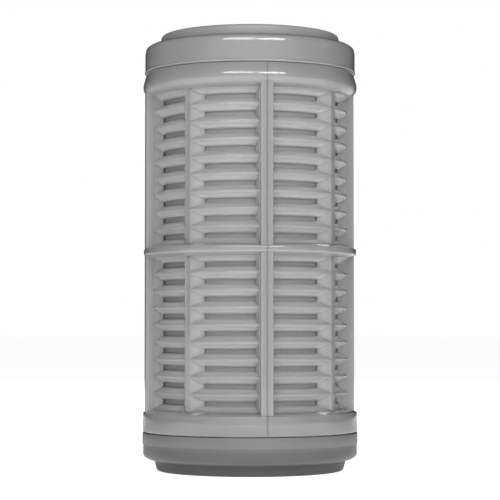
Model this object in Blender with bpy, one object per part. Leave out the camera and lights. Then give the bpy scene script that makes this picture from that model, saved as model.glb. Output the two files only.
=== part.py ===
"""Washable net filter cartridge, 5-inch size, open at both ends.

Two half shells of a slatted cage meet on a plane through the axis. Each is lined with half of a
nylon net, an end cap holds them together at each end, and a soft gasket seals each cap.
The origin is the centre of the bottom gasket's face, and +Z is the cartridge's axis.
"""

import math

import bmesh
import bpy
from mathutils import Matrix, Vector

MM = 0.001

# How far the joint between the half shells is turned from the front, about the axis
JOINT_ANGLE = math.radians(9.0)
SEGMENTS = 40
FIT = 0.3 * MM  # clearance between two pieces that touch
WELD = 0.002 * MM  # points that a cut leaves closer than this are one

# Stack of pieces along the axis, from the bottom up
BOTTOM_GASKET_HEIGHT = 3.05 * MM
BOTTOM_CAP_HEIGHT = 8.1 * MM
CAGE_HEIGHT = 104.65 * MM
TOP_CAP_HEIGHT = 8.8 * MM
TOP_GASKET_HEIGHT = 2.4 * MM

# Cage: a slatted tube with a collar at each end and a ring at its middle
TUBE_INNER_RADIUS = 25.8 * MM
TUBE_WALL = 2.8 * MM
COLLAR_RISE = 2.75 * MM
COLLAR_HEIGHT = 5.35 * MM
COLLAR_CHAMFER = 0.5 * MM
RING_RISE = 2.5 * MM
RING_HEIGHT = 2.8 * MM
RING_CHAMFER = 0.4 * MM
NECK_LENGTH = 5.6 * MM  # how far the tube reaches into each end cap

# Slots: rows above and below the ring, each slot flaring from its narrow inner mouth
SLOT_PITCH = 4.9 * MM
SLOT_MOUTH = 1.15 * MM
SLAT_LIP = 0.65 * MM
RING_LAND = 0.5 * MM  # least plain tube between a ring or collar and the flare of the next slot

# Upright ribs between the slots, fins that stand out from them, and the bars along the joint
RIB_WIDTH = 1.5 * MM
RIB_SPACING = 19.5 * MM
CENTRE_RIB_WIDTH = 4.0 * MM
FIN_WIDTH = 3.4 * MM
FIN_RISE = 2.4 * MM
JOINT_RIB_WIDTH = 5.0 * MM
JOINT_BAR_WIDTH = 3.5 * MM

NET_THICKNESS = 0.3 * MM

# End caps
BORE_RADIUS = 14.25 * MM
CAP_WALL = 2.0 * MM
PLATE_THICKNESS = 2.4 * MM
SPIGOT_LENGTH = 14.0 * MM
BORE_TUBE_LENGTH = 9.5 * MM
LIP_WALL = 1.65 * MM
LIP_HEIGHT = 1.3 * MM
TOP_SKIRT_WALL = 1.9 * MM
TOP_SHOULDER_WIDTH = 4.4 * MM
TOP_SHOULDER_DROP = 2.9 * MM
BOTTOM_SKIRT_WALL = 2.5 * MM
BOTTOM_SHOULDER_WIDTH = 2.9 * MM
BOTTOM_SHOULDER_DROP = 1.9 * MM
BOTTOM_BAND_HEIGHT = 3.4 * MM  # the proud band round the open edge of the bottom cap
BOTTOM_BAND_RISE = 0.2 * MM
SHOULDER_START = math.radians(62)  # the arc of a shoulder runs from this slope to the upright skirt
SHOULDER_STEPS = 5

# Gaskets, set in from the edge of the cap's flat face
TOP_GASKET_INSET = 0.3 * MM
TOP_GASKET_ROUND = 0.8 * MM
BOTTOM_GASKET_INSET = 0.3 * MM
BOTTOM_GASKET_TAPER = 0.9 * MM
BOTTOM_GASKET_ROUND = 0.7 * MM
GASKET_STEPS = 3

# Heights and radii that follow from the sizes above
BOTTOM_CAP_Z = BOTTOM_GASKET_HEIGHT
CAGE_Z = BOTTOM_CAP_Z + BOTTOM_CAP_HEIGHT
CAGE_TOP_Z = CAGE_Z + CAGE_HEIGHT
TOP_CAP_Z = CAGE_TOP_Z + TOP_CAP_HEIGHT
TOP_Z = TOP_CAP_Z + TOP_GASKET_HEIGHT
RING_Z = (CAGE_Z + CAGE_TOP_Z) / 2

TUBE_RADIUS = TUBE_INNER_RADIUS + TUBE_WALL
COLLAR_RADIUS = TUBE_RADIUS + COLLAR_RISE
RING_RADIUS = TUBE_RADIUS + RING_RISE
FIN_RADIUS = TUBE_RADIUS + FIN_RISE
NET_RADIUS = TUBE_INNER_RADIUS - FIT
SPIGOT_RADIUS = NET_RADIUS - NET_THICKNESS - FIT
SOCKET_RADIUS = TUBE_RADIUS + FIT
TOP_CAP_RADIUS = SOCKET_RADIUS + TOP_SKIRT_WALL
BOTTOM_CAP_RADIUS = SOCKET_RADIUS + BOTTOM_SKIRT_WALL
TOP_FLAT_RADIUS = TOP_CAP_RADIUS - TOP_SHOULDER_WIDTH
BOTTOM_FLAT_RADIUS = BOTTOM_CAP_RADIUS - BOTTOM_BAND_RISE - BOTTOM_SHOULDER_WIDTH
TOP_GASKET_RADIUS = TOP_FLAT_RADIUS - TOP_GASKET_INSET
BOTTOM_GASKET_RADIUS = BOTTOM_FLAT_RADIUS - BOTTOM_GASKET_INSET
LIP_RADIUS = BORE_RADIUS + LIP_WALL
GASKET_BORE_RADIUS = LIP_RADIUS + FIT
SLOT_FLARE = (SLOT_PITCH - SLOT_MOUTH - SLAT_LIP) / 2  # rise of each slot wall over the tube's wall
FIRST_ROW_OFFSET = RING_HEIGHT / 2 + RING_LAND + SLOT_FLARE + SLOT_MOUTH / 2
ROW_SPACE = CAGE_HEIGHT / 2 - COLLAR_HEIGHT - RING_HEIGHT / 2 - 2 * RING_LAND + SLAT_LIP
SLOT_ROWS = math.floor(ROW_SPACE / SLOT_PITCH)  # in each of the two blocks, above and below the ring
CUTTER_OVERRUN = 0.5 * MM


def clear_scene():
    for item in list(bpy.data.objects):
        bpy.data.objects.remove(item)


def add_object(name, mesh, parent=None):
    item = bpy.data.objects.new(name, mesh)
    bpy.context.collection.objects.link(item)
    item.parent = parent
    return item


def add_cutter(name, mesh):
    """A shape that only cuts or joins: it isn't a piece of the cartridge."""
    item = add_object(name, mesh)
    item.hide_render = True
    item.display_type = "WIRE"
    return item


def plastic(name, colour, roughness):
    material = bpy.data.materials.new(name)
    material.use_nodes = True
    shader = material.node_tree.nodes["Principled BSDF"]
    shader.inputs["Base Color"].default_value = (*colour, 1.0)
    shader.inputs["Roughness"].default_value = roughness
    shader.inputs["Metallic"].default_value = 0.0
    material.diffuse_color = (*colour, 1.0)
    return material


def turned_mesh(name, outline):
    """Turns a closed outline of (radius, height) points round Z."""
    shape = bmesh.new()
    columns = []
    for step in range(SEGMENTS):
        angle = math.tau * step / SEGMENTS
        across, along = math.cos(angle), math.sin(angle)
        columns.append([shape.verts.new((r * across, r * along, z)) for r, z in outline])
    for column, following in zip(columns, columns[1:] + columns[:1]):
        for index in range(len(outline)):
            before = index - 1
            shape.faces.new((column[before], column[index], following[index], following[before]))
    bmesh.ops.recalc_face_normals(shape, faces=shape.faces)
    return finished_mesh(name, shape)


def block_mesh(name, low, high):
    """A box between two corners."""
    low, high = Vector(low), Vector(high)
    size = high - low
    shape = bmesh.new()
    bmesh.ops.create_cube(
        shape, size=1.0, matrix=Matrix.Translation((low + high) / 2) @ Matrix.Diagonal((*size, 1.0))
    )
    return finished_mesh(name, shape)


def finished_mesh(name, shape):
    mesh = bpy.data.meshes.new(name)
    shape.to_mesh(mesh)
    shape.free()
    return mesh


def combine(item, other, operation, solver="EXACT"):
    modifier = item.modifiers.new(f"{operation.lower()}_{other.name}", "BOOLEAN")
    modifier.operation = operation
    modifier.object = other
    modifier.solver = solver


def solid_result(item, name):
    """The mesh that an object's modifiers make, with the cuts' near-double points made one."""
    shape = bmesh.new()
    shape.from_object(item, bpy.context.evaluated_depsgraph_get())
    bmesh.ops.remove_doubles(shape, verts=shape.verts, dist=WELD)
    return finished_mesh(name, shape)


def rounded_corner(centre, radii, start, end, steps):
    """Points of an elliptical arc, between two angles from the radial direction."""
    turn = (end - start) / steps
    return [
        (
            centre[0] + radii[0] * math.cos(start + turn * step),
            centre[1] + radii[1] * math.sin(start + turn * step),
        )
        for step in range(steps + 1)
    ]


def shoulder_arc(flat_radius, body_radius, drop):
    """An arc from the edge of a cap's flat face, where it slopes at once, down to its skirt."""
    reach = (body_radius - flat_radius) / (1 - math.cos(SHOULDER_START))
    rise = drop / math.sin(SHOULDER_START)
    return rounded_corner(
        (body_radius - reach, -drop), (reach, rise), SHOULDER_START, 0.0, SHOULDER_STEPS
    )


def cage_outline():
    """The tube with its collars and middle ring, down the outside and up the bore."""
    tube_bottom = CAGE_Z - NECK_LENGTH
    tube_top = CAGE_TOP_Z + NECK_LENGTH
    ring_top = RING_Z + RING_HEIGHT / 2
    ring_bottom = RING_Z - RING_HEIGHT / 2
    collar_foot = CAGE_TOP_Z - COLLAR_HEIGHT
    collar_head = CAGE_Z + COLLAR_HEIGHT
    return [
        (TUBE_RADIUS, tube_top),
        (TUBE_RADIUS, CAGE_TOP_Z),
        (COLLAR_RADIUS, CAGE_TOP_Z),
        (COLLAR_RADIUS, collar_foot + COLLAR_CHAMFER),
        (COLLAR_RADIUS - COLLAR_CHAMFER, collar_foot),
        (TUBE_RADIUS, collar_foot),
        (TUBE_RADIUS, ring_top),
        (RING_RADIUS - RING_CHAMFER, ring_top),
        (RING_RADIUS, ring_top - RING_CHAMFER),
        (RING_RADIUS, ring_bottom + RING_CHAMFER),
        (RING_RADIUS - RING_CHAMFER, ring_bottom),
        (TUBE_RADIUS, ring_bottom),
        (TUBE_RADIUS, collar_head),
        (COLLAR_RADIUS - COLLAR_CHAMFER, collar_head),
        (COLLAR_RADIUS, collar_head - COLLAR_CHAMFER),
        (COLLAR_RADIUS, CAGE_Z),
        (TUBE_RADIUS, CAGE_Z),
        (TUBE_RADIUS, tube_bottom),
        (TUBE_INNER_RADIUS, tube_bottom),
        (TUBE_INNER_RADIUS, tube_top),
    ]


def upright_slabs(widths_along_y, width_along_x, reach):
    """Slabs through the axis: some stand across Y, one stands across X."""
    slabs = []
    low, high = CAGE_Z - reach, CAGE_TOP_Z + reach
    for centre, width in widths_along_y:
        name = f"slab_{len(slabs)}"
        corner_a = (-reach, centre - width / 2, low)
        corner_b = (reach, centre + width / 2, high)
        slabs.append(add_cutter(name, block_mesh(name, corner_a, corner_b)))
    half = width_along_x / 2
    slabs.append(
        add_cutter("joint_slab", block_mesh("joint_slab", (-half, -reach, low), (half, reach, high)))
    )
    return slabs


def slot_ring_outline(centre):
    """The flared section that one row of slots is cut with, centred on a height."""
    slope = SLOT_FLARE / TUBE_WALL
    mouth = SLOT_MOUTH / 2 - CUTTER_OVERRUN * slope
    outside = SLOT_MOUTH / 2 + SLOT_FLARE + CUTTER_OVERRUN * slope
    outer = TUBE_RADIUS + CUTTER_OVERRUN
    inner = TUBE_INNER_RADIUS - CUTTER_OVERRUN
    return [
        (outer, centre + outside),
        (outer, centre - outside),
        (inner, centre - mouth),
        (inner, centre + mouth),
    ]


def slot_cutter():
    """Every slot of the cage: flared rings, less the ribs that part them."""
    row = add_cutter("slot_row", turned_mesh("slot_row", slot_ring_outline(0.0)))
    ribs = [
        (-RIB_SPACING, RIB_WIDTH),
        (0.0, CENTRE_RIB_WIDTH),
        (RIB_SPACING, RIB_WIDTH),
    ]
    slabs = upright_slabs(ribs, JOINT_RIB_WIDTH, COLLAR_RADIUS)
    for slab in slabs:
        combine(row, slab, "DIFFERENCE")
    row_mesh = solid_result(row, "slot_row_parts")
    shape = bmesh.new()
    for side in (-1, 1):
        for index in range(SLOT_ROWS):
            height = RING_Z + side * (FIRST_ROW_OFFSET + index * SLOT_PITCH)
            before = len(shape.verts)
            shape.from_mesh(row_mesh)
            shape.verts.ensure_lookup_table()
            bmesh.ops.translate(shape, verts=shape.verts[before:], vec=(0, 0, height))
    for item in (row, *slabs):
        bpy.data.objects.remove(item)
    return add_cutter("slots", finished_mesh("slots", shape))


def fin_shape():
    """Two fins across from each other, and the bars along the joint, from collar to collar."""
    low = CAGE_Z + COLLAR_HEIGHT / 2
    high = CAGE_TOP_Z - COLLAR_HEIGHT / 2
    inner = TUBE_INNER_RADIUS + TUBE_WALL / 2
    outline = [(FIN_RADIUS, high), (FIN_RADIUS, low), (inner, low), (inner, high)]
    ring = add_cutter("fins", turned_mesh("fins", outline))
    slabs = upright_slabs([(0.0, FIN_WIDTH)], JOINT_BAR_WIDTH, COLLAR_RADIUS)
    combine(slabs[0], slabs[1], "UNION")
    combine(ring, slabs[0], "INTERSECT")
    mesh = solid_result(ring, "fins")
    for item in (ring, *slabs):
        bpy.data.objects.remove(item)
    return add_cutter("fins", mesh)


def cage_half_mesh():
    """The half of the cage on the +X side of its joint."""
    cage = add_object("cage", turned_mesh("cage", cage_outline()))
    fins, slots = fin_shape(), slot_cutter()
    reach = 2 * COLLAR_RADIUS
    half = add_cutter(
        "half", block_mesh("half", (FIT / 2, -reach, -reach), (reach, reach, TOP_Z + reach))
    )
    # EXACT loses faces at some sizes of tube, where the facets of the fins and the tube line up
    combine(cage, fins, "UNION", "MANIFOLD")
    combine(cage, half, "INTERSECT", "MANIFOLD")
    combine(cage, slots, "DIFFERENCE", "MANIFOLD")
    mesh = solid_result(cage, "cage_half")
    for item in (cage, fins, slots, half):
        bpy.data.objects.remove(item)
    return mesh


def net_half_mesh():
    """Half a tube of net, which lines the +X half of the cage from neck to neck."""
    low = CAGE_Z - NECK_LENGTH + FIT
    high = CAGE_TOP_Z + NECK_LENGTH - FIT
    inner = NET_RADIUS - NET_THICKNESS
    outline = [(NET_RADIUS, high), (NET_RADIUS, low), (inner, low), (inner, high)]
    tube = add_object("net", turned_mesh("net", outline))
    reach = 2 * NET_RADIUS
    half = add_cutter(
        "half", block_mesh("half", (FIT / 2, -reach, -reach), (reach, reach, TOP_Z + reach))
    )
    combine(tube, half, "INTERSECT")
    mesh = solid_result(tube, "net_half")
    for item in (tube, half):
        bpy.data.objects.remove(item)
    return mesh


def cap_outline(height, radius, flat_radius, shoulder_drop, band_height, band_rise):
    """A cap seen as the top one: heights run down from its plate's outer face, at height 0.

    The tube of the cage fits between the skirt and the spigot, and the lip centres the gasket.
    """
    skirt_end = -height + FIT
    socket_end = -height + NECK_LENGTH + FIT
    body = radius - band_rise
    shoulder = shoulder_arc(flat_radius, body, shoulder_drop)
    band = [(body, skirt_end + band_height), (radius, skirt_end + band_height)] if band_rise else []
    return [
        (BORE_RADIUS, LIP_HEIGHT),
        (LIP_RADIUS, LIP_HEIGHT),
        (LIP_RADIUS, 0.0),
        *shoulder,
        *band,
        (radius, skirt_end),
        (SOCKET_RADIUS, skirt_end),
        (SOCKET_RADIUS, socket_end),
        (SPIGOT_RADIUS, socket_end),
        (SPIGOT_RADIUS, -SPIGOT_LENGTH),
        (SPIGOT_RADIUS - CAP_WALL, -SPIGOT_LENGTH),
        (SPIGOT_RADIUS - CAP_WALL, -PLATE_THICKNESS),
        (BORE_RADIUS + CAP_WALL, -PLATE_THICKNESS),
        (BORE_RADIUS + CAP_WALL, -BORE_TUBE_LENGTH),
        (BORE_RADIUS, -BORE_TUBE_LENGTH),
    ]


def gasket_outline(height, radius, taper, rounding):
    """A ring round the lip, rounded at its sealing face, heights from the cap's plate."""
    face_edge = radius - taper
    corner = rounded_corner(
        (face_edge - rounding, height - rounding), (rounding, rounding),
        math.pi / 2, 0.0, GASKET_STEPS,
    )
    return [
        *corner,
        (radius, FIT),
        (GASKET_BORE_RADIUS, FIT),
        (GASKET_BORE_RADIUS, height),
    ]


def shade(mesh, material, angle=math.radians(25)):
    mesh.materials.clear()
    mesh.materials.append(material)
    mesh.shade_smooth()
    mesh.set_sharp_from_angle(angle=angle)


def add_halves(name, mesh, material, parent):
    """Two equal half shells, the left one turned half round the axis."""
    shade(mesh, material)
    for side, turn in (("right", 0.0), ("left", math.pi)):
        half = add_object(f"{name}_{side}", mesh, parent)
        half.rotation_euler.z = turn


def add_end(name, outline, height, upside_down, material, parent):
    """A turned end piece at its height, turned over where it belongs to the bottom."""
    mesh = turned_mesh(name, outline)
    shade(mesh, material)
    piece = add_object(name, mesh, parent)
    piece.location.z = height
    if upside_down:
        piece.rotation_euler.x = math.pi


def build():
    clear_scene()
    natural = plastic("natural_plastic", (0.60, 0.60, 0.60), 0.35)
    cap_natural = plastic("cap_plastic", (0.57, 0.57, 0.57), 0.4)
    cap_grey = plastic("grey_cap_plastic", (0.38, 0.38, 0.38), 0.45)
    nylon = plastic("nylon_net", (0.45, 0.45, 0.45), 0.8)
    pale_rubber = plastic("pale_rubber", (0.55, 0.55, 0.55), 0.5)
    dark_rubber = plastic("dark_rubber", (0.06, 0.06, 0.06), 0.6)

    axis = add_object("cartridge_axis", None)
    axis.rotation_euler.z = JOINT_ANGLE
    add_halves("cage_half", cage_half_mesh(), natural, axis)
    add_halves("net_half", net_half_mesh(), nylon, axis)

    top_cap = cap_outline(
        TOP_CAP_HEIGHT, TOP_CAP_RADIUS, TOP_FLAT_RADIUS, TOP_SHOULDER_DROP, 0.0, 0.0
    )
    bottom_cap = cap_outline(
        BOTTOM_CAP_HEIGHT, BOTTOM_CAP_RADIUS, BOTTOM_FLAT_RADIUS, BOTTOM_SHOULDER_DROP,
        BOTTOM_BAND_HEIGHT, BOTTOM_BAND_RISE,
    )
    add_end("end_cap_top", top_cap, TOP_CAP_Z, False, cap_natural, axis)
    add_end("end_cap_bottom", bottom_cap, BOTTOM_CAP_Z, True, cap_grey, axis)
    top_gasket = gasket_outline(TOP_GASKET_HEIGHT, TOP_GASKET_RADIUS, 0.0, TOP_GASKET_ROUND)
    bottom_gasket = gasket_outline(
        BOTTOM_GASKET_HEIGHT, BOTTOM_GASKET_RADIUS, BOTTOM_GASKET_TAPER, BOTTOM_GASKET_ROUND
    )
    add_end("gasket_top", top_gasket, TOP_CAP_Z, False, pale_rubber, axis)
    add_end("gasket_bottom", bottom_gasket, BOTTOM_CAP_Z, True, dark_rubber, axis)


build()
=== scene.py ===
"""The looks of a washable net filter cartridge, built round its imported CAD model.

Lengths are in metres. Pieces are modelled with the joint between the half shells on the YZ plane,
then turned about the axis to where the CAD model has it.
"""

import math

import bmesh
import bpy
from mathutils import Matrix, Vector


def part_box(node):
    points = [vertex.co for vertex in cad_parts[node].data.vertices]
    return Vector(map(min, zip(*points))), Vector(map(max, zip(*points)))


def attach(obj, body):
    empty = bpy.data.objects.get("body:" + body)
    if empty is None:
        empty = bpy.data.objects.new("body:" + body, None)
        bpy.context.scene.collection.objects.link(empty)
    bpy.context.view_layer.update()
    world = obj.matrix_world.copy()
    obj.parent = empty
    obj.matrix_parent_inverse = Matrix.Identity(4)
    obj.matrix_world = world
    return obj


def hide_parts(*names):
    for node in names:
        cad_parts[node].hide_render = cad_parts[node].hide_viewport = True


MM = 0.001
JOINT_TURN = math.radians(9.0)
ROUND = 144  # points round a turned piece
CLEARANCE = 0.3 * MM  # between the CAD model's touching pieces
NEAR = 0.01 * MM
FAR = 40 * MM  # well past the outside of the object
SMOOTH_MOULDING = 32  # degrees; sharper edges than this stay crisp
SMOOTH_SOFT = 40

# What is seen of the gaps between neighbours
HAIRLINE = 0.015 * MM  # each side of the joint's plane
TOP_GAP = 0.01 * MM
BOTTOM_GAP = 0.02 * MM
LOW_COLLAR_GAP = 0.04 * MM
GASKET_GAP = 0.02 * MM

# Cage: radii, and heights from the ends of its collars or from its middle
NECK = 5.6 * MM
BORE = 25.8 * MM
OUTSIDE = 28.6 * MM
SOCKET = OUTSIDE + CLEARANCE
COLLAR = 31.35 * MM
RING = 31.1 * MM
FIN = 30.88 * MM
COLLAR_TOP = 30.4 * MM
WALL_INSIDE = 27 * MM  # within the wall, where the fins and bars are rooted
COLLAR_WIDEST = 3.5 * MM
COLLAR_UNDERSIDE = 5.4 * MM
COLLAR_DEPTH = 6.86 * MM
LOW_COLLAR_SHOULDER = 5.8 * MM
LOW_COLLAR_EDGE = 5.1 * MM
LOW_COLLAR_DRAFT = 0.12 * MM
RING_HALF = 1.75 * MM  # where the middle ring's slopes meet the wall
RING_SHOULDER = 0.9 * MM
RING_ABOVE = 0.45 * MM
RING_BELOW = 0.7 * MM
RING_DRAFT = 0.08 * MM

# Slots
PITCH = 4.9 * MM
ROWS = 9
FIRST_ROW = 4.025 * MM
MOUTH = 1.15 * MM
FLARE = 1.55 * MM / (2.8 * MM)  # rise of a slat's slope for each unit outwards
RIM_START = 0.16 * MM  # how far inside the wall's outside a slot's rim starts to turn
RIM = (  # distance out from the wall's outside, and how far past the flare
    (-0.04 * MM, 0.03 * MM),
    (0.02 * MM, 0.14 * MM),
    (0.5 * MM, 0.17 * MM),
)
SLOT_CORNER = 0.28 * MM
ROW_TALL = 4 * MM  # more than half the height of a row

# Ribs, fins and joint bars
SIDE_RIB_PLACE = 19.5 * MM
SIDE_RIB = 1.5 * MM
CENTRE_RIB = 4.0 * MM
FIN_WIDTH = 3.4 * MM
JOINT_RIB_INSIDE = 2.5 * MM
JOINT_RIB_OUTSIDE = 1.9 * MM
JOINT_BAR = 1.75 * MM
FIN_EDGE = 0.5 * MM
BAR_EDGE = 0.3 * MM
BAR_END = 4 * MM  # how far short of the collars' ends the fins and bars stop

# Net
NET_MIDDLE = 25.24 * MM
NET_THICK = 0.2 * MM
NET_EDGE = 0.2 * MM  # from the joint's plane to each half's edge
WEAVE_PITCH = 0.25 * MM

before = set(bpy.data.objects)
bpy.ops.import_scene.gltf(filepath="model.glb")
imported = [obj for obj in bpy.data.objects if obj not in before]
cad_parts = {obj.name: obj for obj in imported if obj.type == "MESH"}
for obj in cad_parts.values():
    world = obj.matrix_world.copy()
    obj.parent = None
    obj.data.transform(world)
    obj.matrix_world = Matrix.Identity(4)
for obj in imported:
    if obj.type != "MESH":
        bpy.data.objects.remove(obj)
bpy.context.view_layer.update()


# ---------------------------------------------------------------- modelling

def pick_only(*pieces):
    bpy.ops.object.select_all(action="DESELECT")
    for piece in pieces:
        piece.select_set(True)
    bpy.context.view_layer.objects.active = pieces[0]


def open_up(piece, mode="EDGE"):
    pick_only(piece)
    bpy.ops.object.mode_set(mode="EDIT")
    bpy.ops.mesh.select_mode(type=mode)
    bpy.ops.mesh.select_all(action="DESELECT")


def close_up():
    bpy.ops.object.mode_set(mode="OBJECT")


def settle(piece):
    """The object goes to the origin, unturned and unscaled, with its place in its mesh."""
    pick_only(piece)
    bpy.ops.object.transform_apply(location=True, rotation=True, scale=True)


def select_edges(piece, wanted):
    mesh = bmesh.from_edit_mesh(piece.data)
    for edge in mesh.edges:
        if wanted(edge):
            edge.select_set(True)
    bmesh.update_edit_mesh(piece.data)


def on_ring(radius, height):
    def test(edge):
        return all(
            abs(math.hypot(v.co.x, v.co.y) - radius) < NEAR and abs(v.co.z - height) < NEAR
            for v in edge.verts
        )
    return test


def turned(name, outline, count=ROUND):
    """A closed outline of (radius, height) points, drawn out of a circle one ring at a time."""
    radius, height = outline[0]
    bpy.ops.mesh.primitive_circle_add(
        vertices=count, radius=radius, location=(0, 0, height), fill_type="NOTHING"
    )
    piece = bpy.context.object
    piece.name = name
    settle(piece)
    open_up(piece)
    bpy.ops.mesh.select_all(action="SELECT")
    for (r0, z0), (r1, z1) in zip(outline, outline[1:]):
        bpy.ops.mesh.extrude_region_move(TRANSFORM_OT_translate={"value": (0, 0, z1 - z0)})
        bpy.ops.transform.resize(value=(r1 / r0, r1 / r0, 1), center_override=(0, 0, z1))
    bpy.ops.mesh.select_all(action="DESELECT")
    for radius, height in (outline[0], outline[-1]):
        select_edges(piece, on_ring(radius, height))
    bpy.ops.mesh.bridge_edge_loops()
    bpy.ops.mesh.select_all(action="SELECT")
    bpy.ops.mesh.normals_make_consistent(inside=False)
    close_up()
    return piece


def round_edges(piece, wanted, width, steps):
    """Rounds the edges that a test picks, by a width, in so many steps."""
    open_up(piece)
    select_edges(piece, wanted)
    bpy.ops.mesh.bevel(
        offset=width, offset_type="OFFSET", segments=steps, profile=0.5,
        affect="EDGES", clamp_overlap=True,
    )
    close_up()


def round_rings(piece, corners):
    """Rounds the rings at (radius, height), each by its width and steps."""
    for radius, height, width, steps in corners:
        round_edges(piece, on_ring(radius, height), width, steps)


def block(name, low, high):
    size = [b - a for a, b in zip(low, high)]
    centre = [(a + b) / 2 for a, b in zip(low, high)]
    bpy.ops.mesh.primitive_cube_add(size=1.0, location=centre)
    piece = bpy.context.object
    piece.name = name
    piece.scale = size
    settle(piece)
    return piece


def taper(piece, wanted, scale, centre):
    """Draws in the corners of a block that a test picks."""
    open_up(piece, "VERT")
    mesh = bmesh.from_edit_mesh(piece.data)
    for corner in mesh.verts:
        if wanted(corner.co):
            corner.select_set(True)
    bmesh.update_edit_mesh(piece.data)
    bpy.ops.transform.resize(value=scale, center_override=centre)
    close_up()


def combine(piece, tool, operation):
    pick_only(piece)
    cut = piece.modifiers.new("cut", "BOOLEAN")
    cut.operation = operation
    cut.object = tool
    cut.solver = "MANIFOLD"
    bpy.ops.object.modifier_apply(modifier=cut.name)
    bpy.data.objects.remove(tool)


def copy_of(piece, name):
    """A copy with its own mesh."""
    copy = piece.copy()
    copy.data = piece.data.copy()
    copy.name = name
    bpy.context.collection.objects.link(copy)
    return copy


def smooth(piece, angle):
    pick_only(piece)
    bpy.ops.object.shade_smooth_by_angle(angle=math.radians(angle))


def turn(piece, angle):
    piece.rotation_euler.z = angle
    settle(piece)


# ---------------------------------------------------------------- the cage

def cage_heights():
    low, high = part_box("cage_half_right")
    return low[2] + NECK, high[2] - NECK


def cage_outline(low, high):
    """The wall with a sloped collar at each end, and a ring whose shoulders run on to the slots."""
    mid = (low + high) / 2
    upper = [
        (OUTSIDE, high + NECK),
        (OUTSIDE, high - TOP_GAP),
        (COLLAR_TOP, high - TOP_GAP),
        (COLLAR, high - COLLAR_WIDEST),
        (COLLAR, high - COLLAR_UNDERSIDE),
        (OUTSIDE, high - COLLAR_DEPTH),
        (OUTSIDE, mid + RING_HALF),
        (RING - RING_DRAFT, mid + RING_SHOULDER),
        (RING, mid + RING_ABOVE),
    ]
    lower = [
        (RING, mid - RING_BELOW),
        (OUTSIDE, mid - RING_HALF),
        (OUTSIDE, low + COLLAR_DEPTH),
        (COLLAR - LOW_COLLAR_DRAFT, low + LOW_COLLAR_SHOULDER),
        (COLLAR, low + LOW_COLLAR_EDGE),
        (COLLAR, low + LOW_COLLAR_GAP),
        (OUTSIDE, low + LOW_COLLAR_GAP),
        (OUTSIDE, low - NECK),
        (BORE, low - NECK),
        (BORE, high + NECK),
    ]
    return upper + lower


def cage_corners(low, high):
    """Each rounded ring's radius and height, then its width and steps."""
    mid = (low + high) / 2
    return [
        (COLLAR_TOP, high - TOP_GAP, 0.15 * MM, 3),
        (COLLAR, high - COLLAR_WIDEST, 0.5 * MM, 4),
        (COLLAR, high - COLLAR_UNDERSIDE, 1.2 * MM, 6),
        (RING - RING_DRAFT, mid + RING_SHOULDER, 0.12 * MM, 2),
        (RING, mid - RING_BELOW, 0.18 * MM, 3),
        (COLLAR - LOW_COLLAR_DRAFT, low + LOW_COLLAR_SHOULDER, 0.2 * MM, 3),
        (COLLAR, low + LOW_COLLAR_GAP, 0.6 * MM, 4),
    ]


def slot_row_outline():
    """A slot's section: narrow at the bore, flared to a rounded rim at the outside."""
    def half(radius):
        return MOUTH / 2 + FLARE * (radius - BORE)

    inner, start = BORE - 0.5 * MM, OUTSIDE - RIM_START
    upper = [(inner, half(inner)), (start, half(start))]
    upper += [(OUTSIDE + out, half(OUTSIDE) + past) for out, past in RIM]
    return upper + [(radius, -height) for radius, height in reversed(upper)]


def cut_rib(row, name, low, high):
    """Takes a rib's place out of a row of slots, where (x, y) runs from low to high."""
    combine(row, block(name, (*low, -ROW_TALL), (*high, ROW_TALL)), "DIFFERENCE")


def slot_row():
    """One row of slots of the half on the +X side, parted by its ribs, with rounded corners."""
    row = turned("slot_row", slot_row_outline())
    well_inside, past_joint = 10 * MM, -2 * MM
    for side in (-1, 1):
        place = side * SIDE_RIB_PLACE
        cut_rib(row, "side_rib", (well_inside, place - SIDE_RIB / 2), (FAR, place + SIDE_RIB / 2))
    cut_rib(row, "centre_rib", (well_inside, -CENTRE_RIB / 2), (FAR, CENTRE_RIB / 2))
    cut_rib(row, "other_half", (-FAR, -FAR), (0, FAR))
    draw_in = (JOINT_RIB_INSIDE - JOINT_RIB_OUTSIDE) * (FAR - BORE) / (OUTSIDE - BORE)
    narrow = (JOINT_RIB_INSIDE - draw_in - past_joint) / (JOINT_RIB_INSIDE - past_joint)
    for side in (-1, 1):
        near, beyond = sorted((side * BORE, side * FAR))
        joint = block(
            "joint_rib", (past_joint, near, -ROW_TALL), (JOINT_RIB_INSIDE, beyond, ROW_TALL)
        )
        taper(
            joint, lambda co, s=side: s * co.y > FAR - NEAR,
            (narrow, 1, 1), (past_joint, side * FAR, 0),
        )
        combine(row, joint, "DIFFERENCE")
        cut_rib(row, "inside", (past_joint, -BORE), (JOINT_RIB_INSIDE, BORE))
    round_edges(row, slot_corner, SLOT_CORNER, 3)
    return row


def slot_corner(edge):
    """Where the upright end of a slot meets a slat's slope."""
    if len(edge.link_faces) != 2:
        return False
    upright, sloped = sorted(abs(face.normal.z) for face in edge.link_faces)
    outward = edge.verts[0].co.xy.length - edge.verts[1].co.xy.length
    return upright < 0.1 and 0.5 < sloped < 0.97 and abs(outward) > 1.0 * MM


def all_slots(mid):
    """Nine rows below the middle ring and nine above it."""
    rows = slot_row()
    open_up(rows)
    bpy.ops.mesh.select_all(action="SELECT")
    bpy.ops.transform.translate(value=(0, 0, mid - FIRST_ROW - (ROWS - 1) * PITCH))
    steps = [PITCH] * (ROWS - 1) + [2 * FIRST_ROW] + [PITCH] * (ROWS - 1)
    for step in steps:
        bpy.ops.mesh.duplicate_move(TRANSFORM_OT_translate={"value": (0, 0, step)})
    close_up()
    return rows


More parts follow.
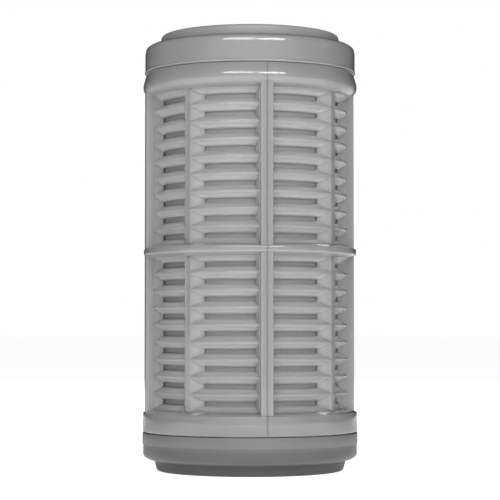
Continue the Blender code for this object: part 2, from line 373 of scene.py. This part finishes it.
def add_bar(cage, name, low, high, outwards, width):
    """Joins an upright bar to the cage, with its long outer edges rounded."""
    def long_outer(edge):
        a, b = (v.co for v in edge.verts)
        return min(outwards(a), outwards(b)) > FIN - NEAR and abs(a.z - b.z) > MM

    bar = block(name, low, high)
    round_edges(bar, long_outer, *width)
    combine(cage, bar, "UNION")


def cage_half():
    """The half shell on the +X side of the joint."""
    low, high = cage_heights()
    cage = turned("cage_half", cage_outline(low, high))
    round_rings(cage, cage_corners(low, high))
    foot, head = low + BAR_END, high - BAR_END
    add_bar(
        cage, "fin", (WALL_INSIDE, -FIN_WIDTH / 2, foot), (FIN, FIN_WIDTH / 2, head),
        lambda co: co.x, (FIN_EDGE, 4),
    )
    for side in (-1, 1):
        near, beyond = sorted((side * WALL_INSIDE, side * FIN))
        add_bar(
            cage, "bar", (-JOINT_BAR, near, foot), (JOINT_BAR, beyond, head),
            lambda co, s=side: s * co.y, (BAR_EDGE, 3),
        )
    half = block("half", (HAIRLINE, -FAR, low - FAR), (FAR, FAR, high + FAR))
    combine(cage, half, "INTERSECT")
    combine(cage, all_slots((low + high) / 2), "DIFFERENCE")
    smooth(cage, SMOOTH_MOULDING)
    return cage


def make_cage(plastic):
    right = cage_half()
    right.name = "cage_shell_right"
    left = copy_of(right, "cage_shell_left")
    turn(left, math.pi + JOINT_TURN)
    turn(right, JOINT_TURN)
    for shell, node in ((right, "cage_half_right"), (left, "cage_half_left")):
        dress(shell, plastic)
        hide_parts(node)


# ---------------------------------------------------------------- the net

def net_lining(name, half_turn):
    """Half a tube of net, stretched against the inside of its shell."""
    low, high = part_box("net_half_right")
    tall = high[2] - low[2]
    bpy.ops.mesh.primitive_cylinder_add(
        vertices=ROUND, radius=NET_MIDDLE, depth=tall, end_fill_type="NOTHING",
        location=(0, 0, (low[2] + high[2]) / 2),
    )
    net = bpy.context.object
    net.name = name
    settle(net)
    open_up(net)
    bpy.ops.mesh.select_all(action="SELECT")
    bpy.ops.mesh.bisect(
        plane_co=(NET_EDGE, 0, 0), plane_no=(1, 0, 0), clear_inner=True, use_fill=False
    )
    bpy.ops.mesh.select_all(action="SELECT")
    bpy.ops.mesh.normals_make_consistent(inside=False)
    close_up()
    wall = net.modifiers.new("thickness", "SOLIDIFY")
    wall.thickness = NET_THICK
    wall.offset = 0.0
    wall.use_even_offset = True
    bpy.ops.object.modifier_apply(modifier=wall.name)
    smooth(net, SMOOTH_SOFT)
    turn(net, half_turn)
    return net


def make_nets(cloth):
    for side, angle in (("right", JOINT_TURN), ("left", math.pi + JOINT_TURN)):
        net = net_lining("net_lining_" + side, angle)
        dress(net, cloth)
        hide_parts("net_half_" + side)


# ---------------------------------------------------------------- caps and gaskets

# Radii, and depths from the plate's outer face
BORE_HOLE = 14.25 * MM
CAP_WALL = 2.0 * MM
PLATE = 2.4 * MM
LIP_EDGE = 15.9 * MM
LIP = 1.3 * MM
SPIGOT = 24.9 * MM
SPIGOT_LENGTH = 14.0 * MM
BORE_TUBE = 9.5 * MM
TOP_EDGE = 30.8 * MM
TOP_BEAD = 30.95 * MM
TOP_DRAFT = 30.6 * MM
TOP_FLAT = 26.4 * MM
TOP_SKIRT = 3.0 * MM  # where the top cap's draft ends
BEAD_HEIGHT = 0.8 * MM
BEAD_SLOPE = 0.2 * MM
BOTTOM_EDGE = 31.4 * MM
BOTTOM_BODY = 31.2 * MM
BOTTOM_FLAT = 28.3 * MM
BAND_HEIGHT = 3.4 * MM
SHOULDER_DROP = 1.9 * MM
SHOULDER_SLOPE = math.radians(62)  # of the arc where it leaves the flat face
SHOULDER_STEPS = 8


def shoulder(flat, edge, end=0.0):
    """Points of the arc from the edge of a cap's flat face down to its skirt."""
    reach = (edge - flat) / (math.cos(end) - math.cos(SHOULDER_SLOPE))
    rise = SHOULDER_DROP / (math.sin(SHOULDER_SLOPE) - math.sin(end))
    angles = [
        SHOULDER_SLOPE + (end - SHOULDER_SLOPE) * n / SHOULDER_STEPS
        for n in range(SHOULDER_STEPS + 1)
    ]
    return [
        (edge + reach * (math.cos(angle) - math.cos(end)),
         -SHOULDER_DROP + rise * (math.sin(angle) - math.sin(end)))
        for angle in angles
    ]


def cap_outline(skirt, deep):
    """A cap's section the right way up for the top one; skirt is its part outside the cage."""
    socket_end = -deep + NECK + CLEARANCE
    return [
        (BORE_HOLE, LIP),
        (LIP_EDGE, LIP),
        (LIP_EDGE, 0.0),
        *skirt,
        (SOCKET, -deep + CLEARANCE),
        (SOCKET, socket_end),
        (SPIGOT, socket_end),
        (SPIGOT, -SPIGOT_LENGTH),
        (SPIGOT - CAP_WALL, -SPIGOT_LENGTH),
        (SPIGOT - CAP_WALL, -PLATE),
        (BORE_HOLE + CAP_WALL, -PLATE),
        (BORE_HOLE + CAP_WALL, -BORE_TUBE),
        (BORE_HOLE, -BORE_TUBE),
    ]


def place_end(piece, height, upside_down):
    if upside_down:
        piece.rotation_euler.x = math.pi
    piece.location.z = height
    settle(piece)


CAP_CORNERS = (  # rounded rings that both caps have: radius, height, width, steps
    (BORE_HOLE, LIP, 0.4 * MM, 3),
    (LIP_EDGE, LIP, 0.3 * MM, 3),
    (SPIGOT, -SPIGOT_LENGTH, 0.5 * MM, 3),
    (BORE_HOLE, -BORE_TUBE, 0.4 * MM, 3),
)


def make_top_cap(plastic):
    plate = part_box("gasket_top")[0][2] - CLEARANCE
    deep = plate - cage_heights()[1]
    foot = -deep + TOP_GAP
    bead = foot + BEAD_HEIGHT
    skirt = [
        *shoulder(TOP_FLAT, TOP_DRAFT, math.radians(3)),
        (TOP_EDGE, -TOP_SKIRT),
        (TOP_EDGE, bead),
        (TOP_BEAD, bead - BEAD_SLOPE),
        (TOP_BEAD, foot),
    ]
    cap = turned("top_cap", cap_outline(skirt, deep))
    round_rings(cap, [
        (TOP_BEAD, foot, 0.3 * MM, 4), (TOP_BEAD, bead - BEAD_SLOPE, 0.12 * MM, 3), *CAP_CORNERS
    ])
    place_end(cap, plate, False)
    smooth(cap, SMOOTH_MOULDING)
    dress(cap, plastic)
    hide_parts("end_cap_top")


def make_bottom_cap(plastic):
    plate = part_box("gasket_bottom")[1][2] + CLEARANCE
    deep = cage_heights()[0] - plate
    foot = -deep + BOTTOM_GAP
    band = foot + BAND_HEIGHT
    skirt = [
        *shoulder(BOTTOM_FLAT, BOTTOM_BODY),
        (BOTTOM_BODY, band),
        (BOTTOM_EDGE, band),
        (BOTTOM_EDGE, foot),
    ]
    cap = turned("bottom_cap", cap_outline(skirt, deep))
    round_rings(cap, [
        (BOTTOM_EDGE, foot, 0.2 * MM, 3), (BOTTOM_EDGE, band, 0.12 * MM, 2), *CAP_CORNERS
    ])
    place_end(cap, plate, True)
    smooth(cap, SMOOTH_MOULDING)
    dress(cap, plastic)
    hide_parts("end_cap_bottom")


def make_gasket(name, node, edge, drawn_in, rounding, upside_down, rubber):
    """A flat ring round a cap's lip; its outer edge may draw in towards its face."""
    low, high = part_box(node)
    tall = high[2] - low[2] + CLEARANCE
    bore = LIP_EDGE + CLEARANCE
    face = edge - drawn_in
    outline = [(bore, tall), (face, tall), (edge, GASKET_GAP), (bore, GASKET_GAP)]
    gasket = turned(name, outline)
    round_rings(gasket, [
        (face, tall, rounding, 6),
        (bore, tall, 0.4 * MM, 3),
    ])
    seat = high[2] + CLEARANCE if upside_down else low[2] - CLEARANCE
    place_end(gasket, seat, upside_down)
    smooth(gasket, SMOOTH_SOFT)
    dress(gasket, rubber)
    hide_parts(node)


# ---------------------------------------------------------------- finishes

def new_group(name, inputs, outputs):
    """A shader node group with named sockets, and its two end nodes."""
    group = bpy.data.node_groups.new(name, "ShaderNodeTree")
    for label, kind, value in inputs:
        socket = group.interface.new_socket(label, in_out="INPUT", socket_type=kind)
        if value is not None:
            socket.default_value = value
    for label, kind in outputs:
        group.interface.new_socket(label, in_out="OUTPUT", socket_type=kind)
    start = group.nodes.new("NodeGroupInput")
    end = group.nodes.new("NodeGroupOutput")
    return group, start, end


def node(tree, kind, **settings):
    made = tree.nodes.new("ShaderNode" + kind)
    for key, value in settings.items():
        if hasattr(made, key):
            setattr(made, key, value)
        else:
            made.inputs[key].default_value = value
    return made


def ramp(tree, source, low, high, out_low=0.0, out_high=1.0):
    """Maps a value from one range to another, and holds it there."""
    made = node(tree, "MapRange")
    for label, value in (("From Min", low), ("From Max", high),
                         ("To Min", out_low), ("To Max", out_high)):
        made.inputs[label].default_value = value
    tree.links.new(source, made.inputs["Value"])
    return made.outputs["Result"]


def reckon(tree, operation, *terms, use_clamp=False):
    """A Math node; each term is another node's socket or a plain number."""
    made = node(tree, "Math", operation=operation, use_clamp=use_clamp)
    for slot, term in zip(made.inputs, terms):
        if isinstance(term, float):
            slot.default_value = term
        else:
            tree.links.new(term, slot)
    return made.outputs["Value"]


def blend_colours(tree, factor, first, second):
    """Mixes two colours; each is another node's socket or a plain colour."""
    made = node(tree, "Mix", data_type="RGBA")
    tree.links.new(factor, made.inputs["Factor"])
    for slot, colour in ((made.inputs[6], first), (made.inputs[7], second)):
        if isinstance(colour, tuple):
            slot.default_value = colour
        else:
            tree.links.new(colour, slot)
    return made.outputs[2]


def object_place(tree):
    """The sockets for a point's place on the object, and for its separate X, Y and Z."""
    place = node(tree, "TexCoord")
    parts = node(tree, "SeparateXYZ")
    tree.links.new(place.outputs["Object"], parts.inputs["Vector"])
    return place, parts.outputs


def cloudy_moulding_group():
    """Uneven density and a faint orange-peel skin, as on moulded natural plastic."""
    group, start, end = new_group(
        "cloudy_moulding",
        [("Light", "NodeSocketColor", (0.5, 0.5, 0.5, 1)),
         ("Dark", "NodeSocketColor", (0.4, 0.4, 0.4, 1)),
         ("Cloud Scale", "NodeSocketFloat", 60.0),
         ("Skin Scale", "NodeSocketFloat", 900.0),
         ("Smooth", "NodeSocketFloat", 0.25),
         ("Rough", "NodeSocketFloat", 0.45)],
        [("Color", "NodeSocketColor"), ("Roughness", "NodeSocketFloat"),
         ("Height", "NodeSocketFloat")],
    )
    place = node(group, "TexCoord")
    squeeze = node(group, "Mapping")
    squeeze.inputs["Scale"].default_value = (1.0, 1.0, 0.55)
    cloud = node(group, "TexNoise")
    cloud.inputs["Detail"].default_value = 3.0
    skin = node(group, "TexNoise")
    skin.inputs["Detail"].default_value = 2.0
    link = group.links.new
    link(place.outputs["Object"], squeeze.inputs["Vector"])
    link(squeeze.outputs["Vector"], cloud.inputs["Vector"])
    link(place.outputs["Object"], skin.inputs["Vector"])
    link(start.outputs["Cloud Scale"], cloud.inputs["Scale"])
    link(start.outputs["Skin Scale"], skin.inputs["Scale"])
    cloud_mask = ramp(group, cloud.outputs["Fac"], 0.35, 0.65)
    colour = blend_colours(group, cloud_mask, start.outputs["Dark"], start.outputs["Light"])
    link(colour, end.inputs["Color"])
    span = node(group, "MapRange")
    link(skin.outputs["Fac"], span.inputs["Value"])
    span.inputs["From Min"].default_value = 0.3
    span.inputs["From Max"].default_value = 0.7
    link(start.outputs["Smooth"], span.inputs["To Min"])
    link(start.outputs["Rough"], span.inputs["To Max"])
    link(span.outputs["Result"], end.inputs["Roughness"])
    link(reckon(group, "ADD", skin.outputs["Fac"], cloud.outputs["Fac"]), end.inputs["Height"])
    return group


def handling_group():
    """Where handling and water have dulled a piece: soft smears."""
    group, start, end = new_group(
        "handling_marks",
        [("Scale", "NodeSocketFloat", 120.0), ("Amount", "NodeSocketFloat", 0.3)],
        [("Mask", "NodeSocketFloat")],
    )
    place = node(group, "TexCoord")
    smear = node(group, "TexNoise")
    smear.inputs["Detail"].default_value = 2.0
    link = group.links.new
    link(place.outputs["Object"], smear.inputs["Vector"])
    link(start.outputs["Scale"], smear.inputs["Scale"])
    spots = ramp(group, smear.outputs["Fac"], 0.45, 0.85)
    link(reckon(group, "MULTIPLY", spots, start.outputs["Amount"]), end.inputs["Mask"])
    return group


def painted_glow_group():
    """Painted light: lighter towards the bore and on faces that point down, a painted glow for
    light through the wall and painted bounce light from the floor.
    """
    group, start, end = new_group(
        "painted_glow",
        [("Bore", "NodeSocketFloat", BORE), ("Outside", "NodeSocketFloat", OUTSIDE),
         ("Depth Share", "NodeSocketFloat", 0.45), ("Under Share", "NodeSocketFloat", 0.9)],
        [("Mask", "NodeSocketFloat")],
    )
    link = group.links.new
    place, parts = object_place(group)
    flat = node(group, "CombineXYZ")
    link(parts["X"], flat.inputs["X"])
    link(parts["Y"], flat.inputs["Y"])
    radius = node(group, "VectorMath", operation="LENGTH")
    link(flat.outputs["Vector"], radius.inputs[0])
    depth = node(group, "MapRange")
    link(radius.outputs["Value"], depth.inputs["Value"])
    link(start.outputs["Outside"], depth.inputs["From Min"])
    link(start.outputs["Bore"], depth.inputs["From Max"])
    facing = node(group, "SeparateXYZ")
    link(place.outputs["Normal"], facing.inputs["Vector"])
    # Painted bounce light: faces that point down are lightened, more so towards the bore.
    under = ramp(group, facing.outputs["Z"], -0.1, -0.8)
    reach = ramp(group, depth.outputs["Result"], 0.1, 1.0, 0.1, 1.0)
    below = reckon(group, "MULTIPLY", under, reach)
    deep = reckon(group, "MULTIPLY", depth.outputs["Result"], start.outputs["Depth Share"])
    total = reckon(
        group, "MULTIPLY_ADD", below, start.outputs["Under Share"], deep, use_clamp=True
    )
    link(total, end.inputs["Mask"])
    return group


def weave_group():
    """Plain weave round the axis: threads over and under, and the openings between them."""
    group, start, end = new_group(
        "net_weave",
        [("Pitch", "NodeSocketFloat", WEAVE_PITCH), ("Radius", "NodeSocketFloat", NET_MIDDLE)],
        [("Thread", "NodeSocketFloat"), ("Height", "NodeSocketFloat")],
    )
    parts = object_place(group)[1]
    angle = reckon(group, "ARCTAN2", parts["Y"], parts["X"])
    along = reckon(group, "MULTIPLY", angle, start.outputs["Radius"])

    def threads(source):
        turns = reckon(group, "DIVIDE", source, start.outputs["Pitch"])
        wave = reckon(group, "COSINE", reckon(group, "MULTIPLY", turns, math.tau))
        return ramp(group, wave, -0.35, 0.75)

    round_threads = threads(along)
    upright_threads = threads(parts["Z"])
    most = reckon(group, "MAXIMUM", round_threads, upright_threads)
    group.links.new(most, end.inputs["Thread"])
    total = reckon(group, "ADD", round_threads, upright_threads)
    group.links.new(total, end.inputs["Height"])
    return group


def new_finish(name):
    finish = bpy.data.materials.new(name)
    finish.use_nodes = True
    return finish, finish.node_tree, finish.node_tree.nodes["Principled BSDF"]


def grey(value):
    return (value, value, value, 1.0)


def place_group(tree, group, **values):
    made = tree.nodes.new("ShaderNodeGroup")
    made.node_tree = group
    for label, value in values.items():
        made.inputs[label.replace("_", " ")].default_value = value
    return made


def add_bump(tree, shader, height, strength, distance):
    bump = node(tree, "Bump")
    bump.inputs["Strength"].default_value = strength
    bump.inputs["Distance"].default_value = distance
    tree.links.new(height, bump.inputs["Height"])
    tree.links.new(bump.outputs["Normal"], shader.inputs["Normal"])


PLASTIC_IOR = 1.49
GLOSS_ROUGHNESS = 0.05  # of the clear skin on translucent plastic
GLOW_DEPTH = 5.0 * MM  # how far light spreads inside it
SKIN_STRENGTH = 0.02
SKIN_DEPTH = 0.02 * MM
PAINTED_SHADE_FROM = 8.2 * MM  # height at which the bottom cap's painted shade starts
PAINTED_SHADE_FULL = 6.6 * MM


def moulded(name, groups, colours, roughness, marks, glow=0.0, painted_light=None, foot=None):
    """A moulded plastic or rubber: cloudy colour, uneven gloss, and dulled smears.

    Colours are its lightest and darkest, and roughness is its least and most. Glow is how much
    light it lets in. Of the two colours after it, the first is that of a painted glow, lighter
    towards the bore and on faces that point down, and foot that of a painted shade at the lowest
    part.
    """
    finish, tree, shader = new_finish(name)
    cloud = place_group(
        tree, groups["cloud"], Light=grey(colours[0]), Dark=grey(colours[1]),
        Smooth=roughness[0], Rough=roughness[1],
    )
    smear = place_group(tree, groups["marks"], Amount=marks)
    colour = cloud.outputs["Color"]
    # Painted glow: the colour is lightened towards the bore and on faces that point down.
    if painted_light:
        wall = place_group(tree, groups["painted_light"])
        colour = blend_colours(tree, wall.outputs["Mask"], colour, grey(painted_light))
    # Painted shade: the colour darkens towards the bottom of the piece, below the given heights.
    if foot:
        painted_shade = ramp(tree, object_place(tree)[1]["Z"], PAINTED_SHADE_FROM, PAINTED_SHADE_FULL)
        colour = blend_colours(tree, painted_shade, colour, grey(foot))
    tree.links.new(colour, shader.inputs["Base Color"])
    dull = reckon(tree, "ADD", cloud.outputs["Roughness"], smear.outputs["Mask"], use_clamp=True)
    tree.links.new(dull, shader.inputs["Roughness"])
    add_bump(tree, shader, cloud.outputs["Height"], SKIN_STRENGTH, SKIN_DEPTH)
    shader.inputs["IOR"].default_value = PLASTIC_IOR
    shader.inputs["Coat Weight"].default_value = glow
    shader.inputs["Coat Roughness"].default_value = GLOSS_ROUGHNESS
    shader.inputs["Subsurface Weight"].default_value = glow
    shader.inputs["Subsurface Radius"].default_value = (1.0, 1.0, 1.0)
    shader.inputs["Subsurface Scale"].default_value = GLOW_DEPTH
    return finish


def net_finish(groups):
    """Nylon thread, partly clear in the openings between threads."""
    finish, tree, shader = new_finish("nylon_net")
    thread = place_group(tree, groups["weave"])
    colour = blend_colours(tree, thread.outputs["Thread"], grey(0.3), grey(0.42))
    tree.links.new(colour, shader.inputs["Base Color"])
    see_through = ramp(tree, thread.outputs["Thread"], 0.0, 0.6, 0.7, 1.0)
    tree.links.new(see_through, shader.inputs["Alpha"])
    add_bump(tree, shader, thread.outputs["Height"], 0.5, 0.08 * MM)
    shader.inputs["Roughness"].default_value = 0.5
    return finish


def dress(piece, finish):
    piece.data.materials.clear()
    piece.data.materials.append(finish)
    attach(piece, "root")


# ---------------------------------------------------------------- studio

FLOOR_COLOUR = 0.85
FLOOR_GLOW = 0.65  # at the object; more in front of it, and none behind it
FLOOR_FRONT_GLOW = 1.15
FLOOR_SEEN = 0.85


def floor_finish():
    """A pale floor that gives light in front of the object, and looks even all over."""
    finish, tree, shader = new_finish("pale_floor")
    grain = node(tree, "TexNoise")
    grain.inputs["Scale"].default_value = 300.0
    colour = blend_colours(
        tree, grain.outputs["Fac"], grey(FLOOR_COLOUR * 0.99), grey(FLOOR_COLOUR)
    )
    tree.links.new(colour, shader.inputs["Base Color"])
    shader.inputs["Roughness"].default_value = 0.9
    shader.inputs["Specular IOR Level"].default_value = 0.0
    parts = object_place(tree)[1]
    before = ramp(tree, parts["Y"], -0.4, -0.03, FLOOR_FRONT_GLOW, FLOOR_GLOW)
    behind = ramp(tree, parts["Y"], -0.05, 0.08, 1.0, 0.0)
    path = node(tree, "LightPath")
    shown = node(tree, "Mix", data_type="FLOAT")
    tree.links.new(path.outputs["Is Camera Ray"], shown.inputs["Factor"])
    tree.links.new(reckon(tree, "MULTIPLY", before, behind), shown.inputs[2])
    shown.inputs[3].default_value = FLOOR_SEEN
    level = node(tree, "CombineColor")
    for channel in ("Red", "Green", "Blue"):
        tree.links.new(shown.outputs[0], level.inputs[channel])
    tree.links.new(level.outputs["Color"], shader.inputs["Emission Color"])
    shader.inputs["Emission Strength"].default_value = 1.0
    return finish


def add_floor():
    bpy.ops.mesh.primitive_plane_add(size=12.0, location=(0, 0, 0))
    floor = bpy.context.object
    floor.name = "floor"
    floor.data.materials.append(floor_finish())


LIGHTS_AIM = (0.0, 0.0, 0.07)


def add_light(name, place, size, radiance):
    """A soft box that points at the object, by its size and how bright its face is."""
    data = bpy.data.lights.new(name, "AREA")
    data.shape = "RECTANGLE"
    data.size, data.size_y = size
    data.energy = radiance * math.pi * size[0] * size[1]
    lamp = bpy.data.objects.new(name, data)
    bpy.context.collection.objects.link(lamp)
    lamp.location = place
    away = Vector(LIGHTS_AIM) - Vector(place)
    lamp.rotation_euler = away.to_track_quat("-Z", "Y").to_euler()
    return lamp


def add_world():
    """Seen, the room is white. As a light it is bright in front and dim behind and at the sides."""
    world = bpy.data.worlds.new("studio")
    bpy.context.scene.world = world
    world.use_nodes = True
    tree = world.node_tree
    sky = tree.nodes["Background"]
    way = node(tree, "TexCoord")
    parts = node(tree, "SeparateXYZ")
    tree.links.new(way.outputs["Generated"], parts.inputs["Vector"])
    front = ramp(tree, parts.outputs["Y"], -1.0, -0.4, 1.0, 0.03)
    side = ramp(tree, parts.outputs["X"], -1.0, 1.0, 0.05, -0.05)
    seen = node(tree, "LightPath")
    pick = node(tree, "Mix", data_type="FLOAT")
    tree.links.new(seen.outputs["Is Camera Ray"], pick.inputs["Factor"])
    tree.links.new(reckon(tree, "ADD", front, side), pick.inputs[2])
    pick.inputs[3].default_value = 1.0
    tree.links.new(pick.outputs[0], sky.inputs["Strength"])
    sky.inputs["Color"].default_value = (1, 1, 1, 1)


def add_studio():
    add_floor()
    add_world()
    add_light("box_left", (-0.13, -0.6, 0.45), (0.38, 0.13), 7.0)
    add_light("box_right", (0.27, -0.6, 0.45), (0.36, 0.13), 9.5)
    back = add_light("box_back", (0.1, 0.65, 0.42), (0.5, 0.25), 8.0)
    back.visible_glossy = False  # it fills in the far side, and puts no shine on the near one
    bpy.context.scene.view_settings.view_transform = "Standard"


CAMERA_PLACE = (0.0, -0.5486, 0.0425)
CAMERA_TILT = math.radians(2.277)  # upwards from level
CAMERA_LENS = 134.6  # mm, on a sensor 36 mm wide


def add_camera():
    data = bpy.data.cameras.new("camera")
    data.lens = CAMERA_LENS
    data.sensor_width = 36.0
    camera = bpy.data.objects.new("camera", data)
    bpy.context.collection.objects.link(camera)
    camera.location = CAMERA_PLACE
    camera.rotation_euler = (math.pi / 2 + CAMERA_TILT, 0.0, 0.0)
    bpy.context.scene.camera = camera


# ---------------------------------------------------------------- the cartridge

def build():
    groups = {
        "cloud": cloudy_moulding_group(),
        "marks": handling_group(),
        "weave": weave_group(),
        "painted_light": painted_glow_group(),
    }
    glossy, satin, matt = (0.08, 0.14), (0.29, 0.36), (0.4, 0.5)
    # The cage's colour is lightened to 0.74 as painted glow towards the bore and on faces that
    # point down.
    make_cage(moulded(
        "natural_plastic", groups, (0.315, 0.30), glossy, marks=0.04, glow=0.8, painted_light=0.74
    ))
    make_nets(net_finish(groups))
    make_top_cap(moulded("cap_plastic", groups, (0.31, 0.295), glossy, marks=0.04, glow=0.7))
    # The bottom cap is a darker copy of the top cap's plastic, as painted shade, and its painted
    # shade deepens towards its foot.
    make_bottom_cap(moulded(
        "grey_cap_plastic", groups, (0.22, 0.205), satin, marks=0.06, foot=0.135
    ))
    make_gasket(
        "top_gasket", "gasket_top", edge=26.1 * MM, drawn_in=0.0, rounding=0.8 * MM,
        upside_down=False,
        rubber=moulded("pale_rubber", groups, (0.32, 0.30), satin, marks=0.06),
    )
    # The bottom gasket is a dark copy of the top gasket's pale rubber, as painted shade.
    make_gasket(
        "bottom_gasket", "gasket_bottom", edge=28.0 * MM, drawn_in=0.9 * MM,
        rounding=0.7 * MM, upside_down=True,
        rubber=moulded("dark_rubber", groups, (0.09, 0.075), matt, marks=0.08),
    )
    add_studio()
    add_camera()


build()
